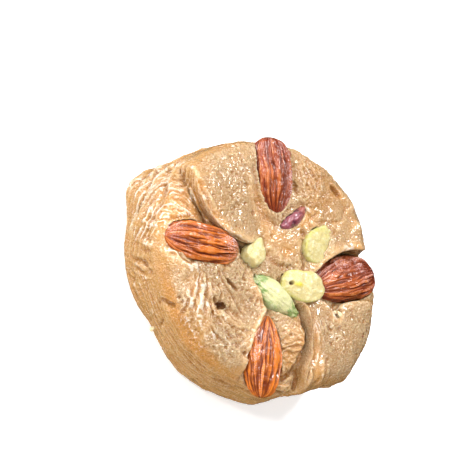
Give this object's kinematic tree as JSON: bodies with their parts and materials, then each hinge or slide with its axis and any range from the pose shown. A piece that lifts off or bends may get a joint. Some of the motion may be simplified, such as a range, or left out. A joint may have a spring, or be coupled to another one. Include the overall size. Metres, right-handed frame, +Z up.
{
  "type": "sohan halwa",
  "caption": "Thick round sweet of soft folded milk fudge, with whole almonds and pieces of pistachio pressed into its face.",
  "frame": {"origin": "middle of the flat underside", "axes": "+Z up out of the face with the nuts, which lies parallel to the underside; +Y towards the almond at the top of the face; +X towards the almond at its right"},
  "size_m": [0.0881, 0.0845, 0.0296],
  "materials": {
    "dough": "soft caramel-coloured fudge with a buttery sheen",
    "almond_skin": "ridged red-brown almond skin, lightly glazed",
    "pistachio": "pale yellow-green cut pistachio",
    "green_pistachio": "pale green shelled pistachio",
    "red_skin": "dark purple-red pistachio skin"
  },
  "bodies": {
    "root": {"halwa": "dough", "almond_top": "almond_skin", "almond_left": "almond_skin", "almond_lower": "almond_skin", "almond_right": "almond_skin", "pistachio_whole": "green_pistachio", "pistachio_oval": "pistachio", "pistachio_egg": "pistachio", "pistachio_chip": "pistachio", "pistachio_sliver": "red_skin"}
  },
  "joints": []
}
